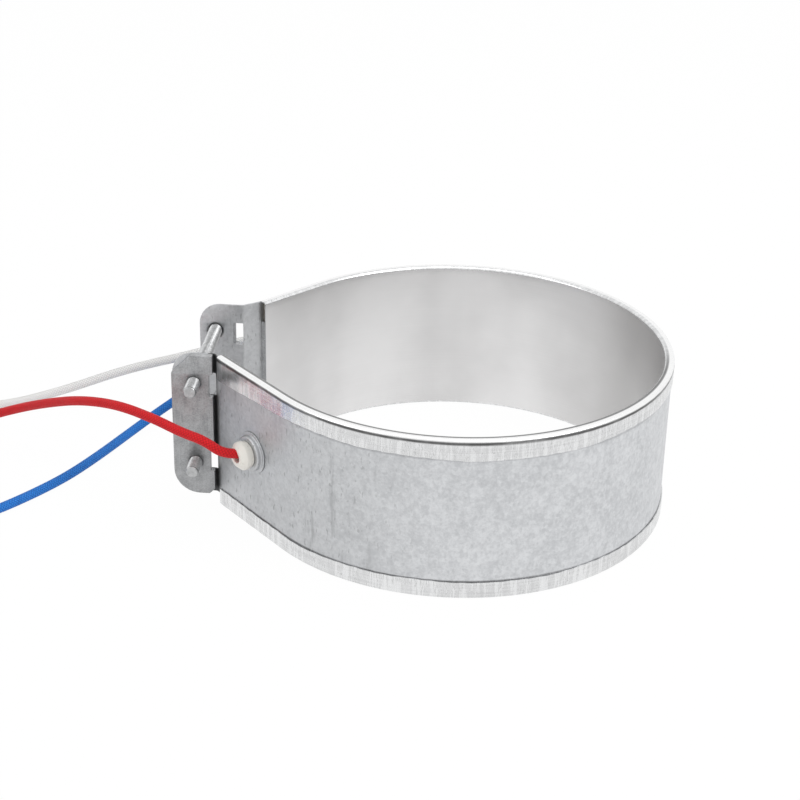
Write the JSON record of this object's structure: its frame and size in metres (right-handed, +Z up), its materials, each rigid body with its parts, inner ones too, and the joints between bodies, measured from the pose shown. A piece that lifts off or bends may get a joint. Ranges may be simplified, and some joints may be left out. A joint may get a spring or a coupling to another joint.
{
  "type": "band heater",
  "caption": "Split cylindrical mica band heater with clamping ears drawn together by two socket screws and leads leaving through ceramic bushes.",
  "frame": {"origin": "on the bore's axis, in the plane of the band's lower rim", "axes": "+Z up along the bore's axis, -X out through the middle of the split, +Y towards the ear that carries the screw heads"},
  "size_m": [0.3299, 0.1638, 0.0605],
  "materials": {
    "stainless_steel": "satin rolled stainless steel",
    "galvanised_steel": "galvanised sheet with a soft spangle",
    "clamp_plate_steel": "dull galvanised steel plate",
    "zinc_plated_steel": "bright zinc-plated steel",
    "resistance_alloy": "oxidised nickel-chromium ribbon",
    "terminal_metal": "nickel-plated terminal",
    "stranded_wire": "nickel-plated stranded conductor",
    "mica": "pressed mica board",
    "ceramic": "unglazed off-white ceramic",
    "red_braid": "red woven glass-fibre sleeve",
    "white_braid": "white woven glass-fibre sleeve",
    "blue_braid": "blue woven glass-fibre sleeve"
  },
  "bodies": {
    "band": {"inner_sheath": "stainless_steel", "inner_mica": "mica", "winding_core": "mica", "heating_ribbon": "resistance_alloy", "outer_mica": "mica", "outer_jacket": "galvanised_steel", "near_clamp_plate": "clamp_plate_steel", "far_clamp_plate": "clamp_plate_steel", "terminal_red": "terminal_metal", "ceramic_bush_red": "ceramic", "bush_collar_red": "stainless_steel", "lead_red": "red_braid", "lead_coil_red": "red_braid", "lead_end_red": "stranded_wire", "terminal_white": "terminal_metal", "ceramic_bush_white": "ceramic", "bush_collar_white": "stainless_steel", "lead_white": "white_braid", "lead_coil_white": "white_braid", "lead_end_white": "stranded_wire", "terminal_blue": "terminal_metal", "ceramic_bush_blue": "ceramic", "bush_collar_blue": "stainless_steel", "lead_blue": "blue_braid", "lead_coil_blue": "blue_braid", "lead_end_blue": "stranded_wire"},
    "washer_lower": {"clamp_washer_lower": "zinc_plated_steel"},
    "screw_lower": {"clamp_screw_lower": "zinc_plated_steel"},
    "washer_upper": {"clamp_washer_upper": "zinc_plated_steel"},
    "screw_upper": {"clamp_screw_upper": "zinc_plated_steel"}
  },
  "joints": [
    {"name": "lower_screw_travel", "type": "slide", "parent": "band", "child": "washer_lower", "axis": [0, 1, 0], "range_m": [0, 0.011]},
    {"name": "lower_screw_turn", "type": "hinge", "parent": "washer_lower", "child": "screw_lower", "pos_m": [-0.0941, 0, 0.0175], "axis": [0, 1, 0], "range_deg": [0, 4960]},
    {"name": "upper_screw_travel", "type": "slide", "parent": "band", "child": "washer_upper", "axis": [0, 1, 0], "range_m": [0, 0.011]},
    {"name": "upper_screw_turn", "type": "hinge", "parent": "washer_upper", "child": "screw_upper", "pos_m": [-0.0941, 0, 0.0495], "axis": [0, 1, 0], "range_deg": [0, 4960]}
  ],
  "couplings": [
    {"joint": "lower_screw_turn", "follows": "lower_screw_travel", "rad_per_m": 7854},
    {"joint": "upper_screw_turn", "follows": "upper_screw_travel", "rad_per_m": 7854}
  ]
}
